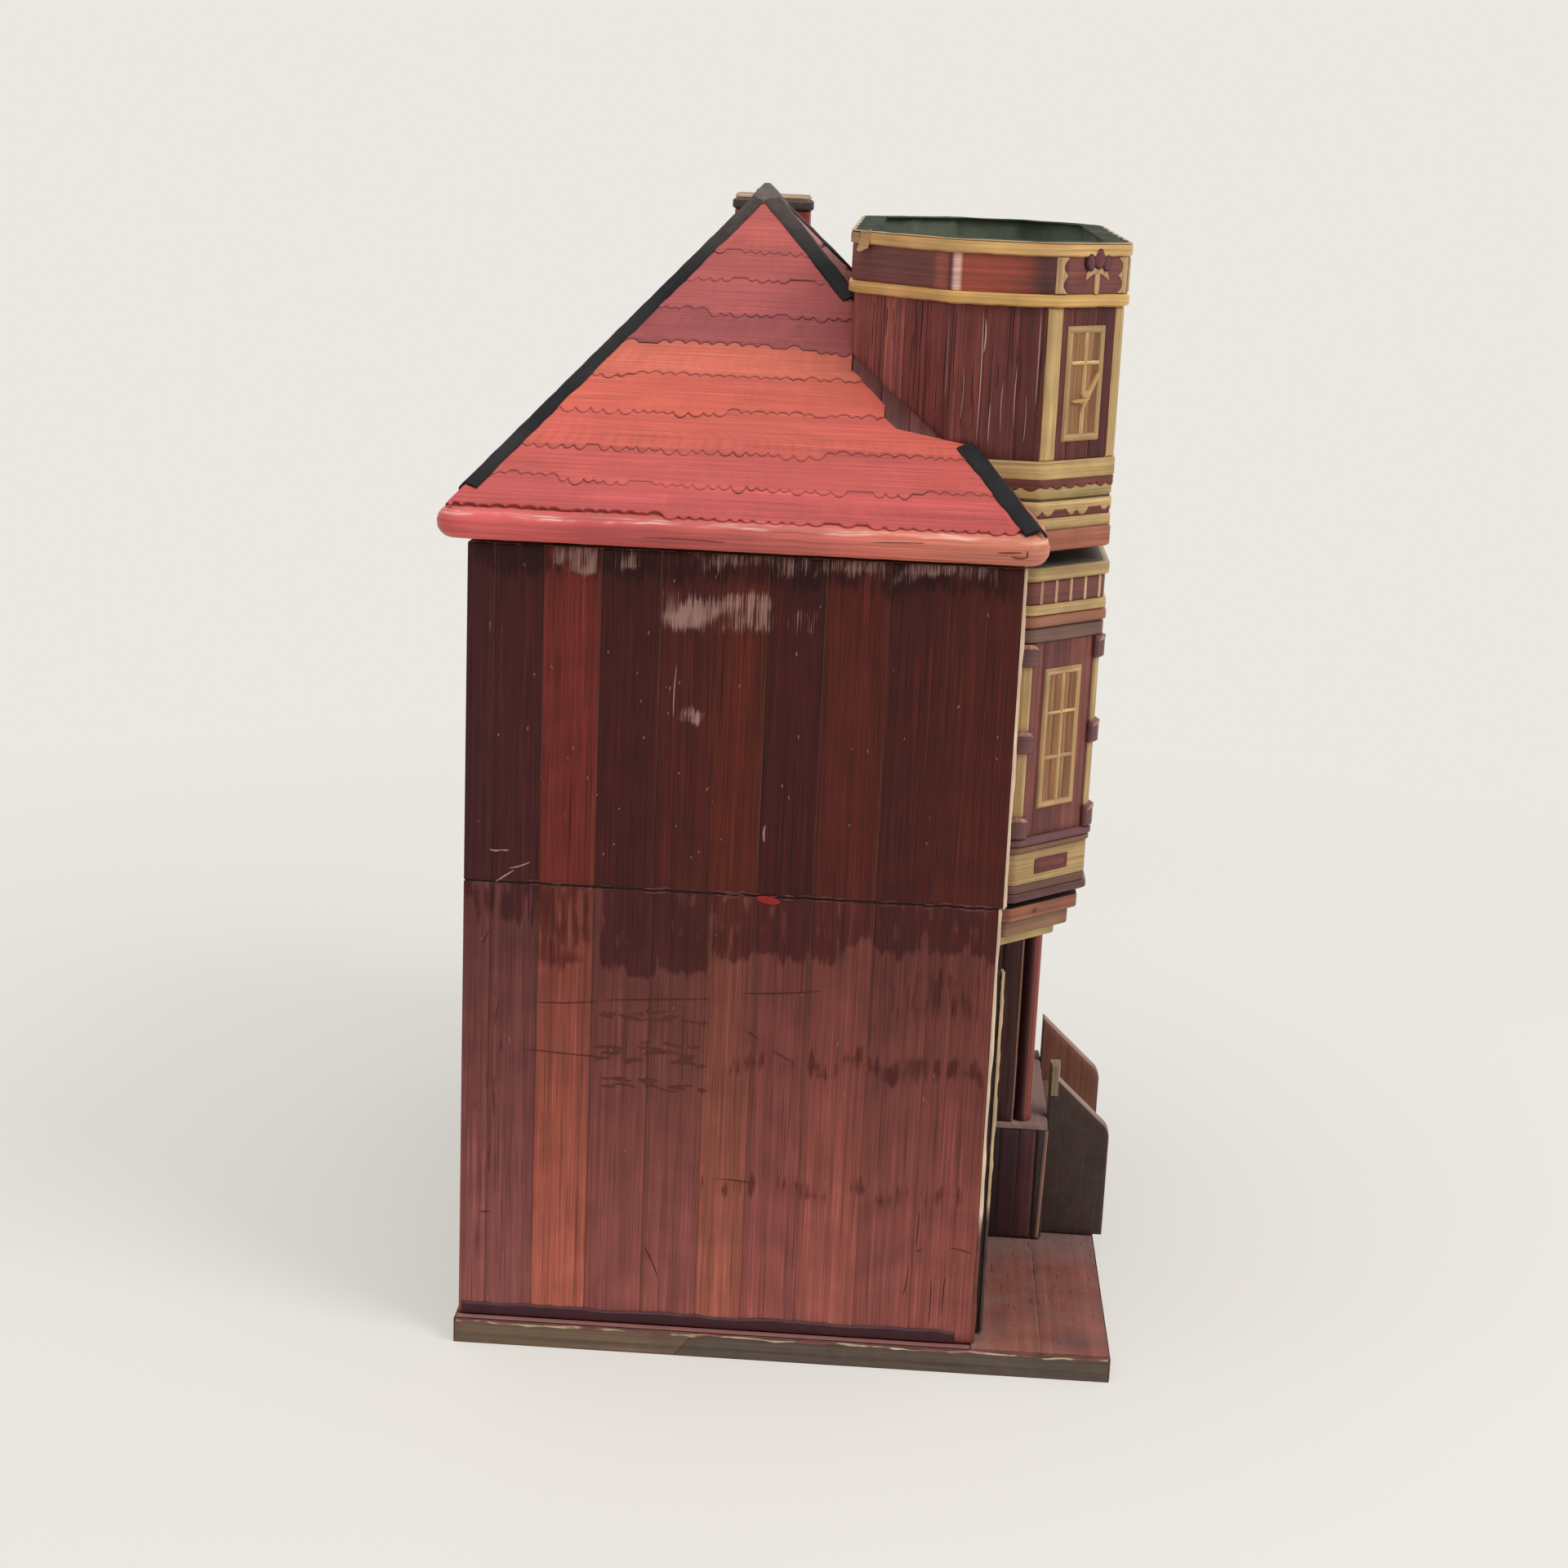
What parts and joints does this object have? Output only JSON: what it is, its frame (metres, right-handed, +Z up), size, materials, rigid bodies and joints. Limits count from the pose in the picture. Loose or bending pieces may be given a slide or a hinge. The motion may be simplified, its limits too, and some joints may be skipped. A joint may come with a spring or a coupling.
{
  "type": "trinket box",
  "caption": "Trinket box shaped as a town house and covered in straw marquetry, with an open turret on a hinged roof lid and stacked drawers fronted by a bay window and a stepped porch.",
  "frame": {"origin": "centre of the bounding box at the underside of the base board", "axes": "+X along the house's front, towards the chimney's side; +Y from the porch to the hinges at the back; +Z up"},
  "size_m": [0.15, 0.127, 0.2099],
  "materials": {
    "stained_wood": "stained, worn",
    "plain_wood": "bare, sanded",
    "red_straw": "split straw, lacquered",
    "roof_straw": "split straw tiles, lacquered",
    "brown_straw": "split straw, lacquered",
    "mahogany_straw": "split straw, lacquered",
    "yellow_straw": "split straw, lacquered",
    "pale_straw": "split straw, worn",
    "salmon_straw": "split straw, lacquered",
    "purple_straw": "split straw, lacquered",
    "black_straw": "dyed black, dusty",
    "dark_paper": "dull dyed paper",
    "hinge_brass": "tarnished"
  },
  "bodies": {
    "carcass": {"base_board": "stained_wood", "lower_side_walls": "stained_wood", "lower_back_wall": "stained_wood", "middle_board": "plain_wood", "upper_side_walls": "stained_wood", "upper_back_wall": "stained_wood", "tray_floor": "plain_wood", "tray_front_rail": "plain_wood", "tray_lining": "dark_paper", "side_wall_straw": "red_straw", "back_wall_straw": "red_straw", "wall_edge_strips": "pale_straw", "skirting": "brown_straw", "hinge_wall_leaves": "hinge_brass", "hinge_pins": "hinge_brass", "hinge_wall_nails": "hinge_brass"},
    "upper_drawer": {"upper_drawer_front": "mahogany_straw", "upper_drawer_bottom": "plain_wood", "upper_drawer_sides": "plain_wood", "upper_drawer_back": "plain_wood", "upper_drawer_lining": "dark_paper", "bay_wall": "mahogany_straw", "bay_top_board": "black_straw", "bay_foot": "brown_straw", "bay_panel_band": "yellow_straw", "bay_sill": "purple_straw", "bay_frieze": "salmon_straw", "bay_pilasters": "yellow_straw", "bay_blocks": "purple_straw", "bay_windows": "yellow_straw"},
    "lower_drawer": {"lower_drawer_front": "mahogany_straw", "lower_drawer_bottom": "plain_wood", "lower_drawer_sides": "plain_wood", "lower_drawer_back": "plain_wood", "lower_drawer_lining": "dark_paper", "lower_front_strips": "pale_straw", "canopy": "salmon_straw", "door_frame": "brown_straw", "door_leaf": "mahogany_straw", "columns": "brown_straw", "podium": "black_straw", "podium_slab": "pale_straw", "stair_stringers": "black_straw", "stair_steps": "brown_straw"},
    "roof_lid": {"eave_board": "salmon_straw", "roof_boards": "plain_wood", "roof_straw": "roof_straw", "hip_strips": "black_straw", "chimney": "roof_straw", "chimney_band": "black_straw", "lid_lining": "dark_paper", "turret_wall": "mahogany_straw", "turret_floor": "plain_wood", "turret_lining": "dark_paper", "turret_crown": "roof_straw", "turret_foot": "yellow_straw", "turret_pilasters": "yellow_straw", "turret_windows": "yellow_straw", "hinge_lid_leaves": "hinge_brass", "hinge_lid_nails": "hinge_brass"}
  },
  "joints": [
    {"name": "roof_hinge", "type": "hinge", "parent": "carcass", "child": "roof_lid", "pos_m": [0, 0.0599, 0.1488], "axis": [-1, 0, 0], "range_deg": [0, 110]},
    {"name": "upper_drawer_slide", "type": "slide", "parent": "carcass", "child": "upper_drawer", "axis": [0, -1, 0], "range_m": [0, 0.06]},
    {"name": "lower_drawer_slide", "type": "slide", "parent": "carcass", "child": "lower_drawer", "axis": [0, -1, 0], "range_m": [0, 0.06]}
  ]
}
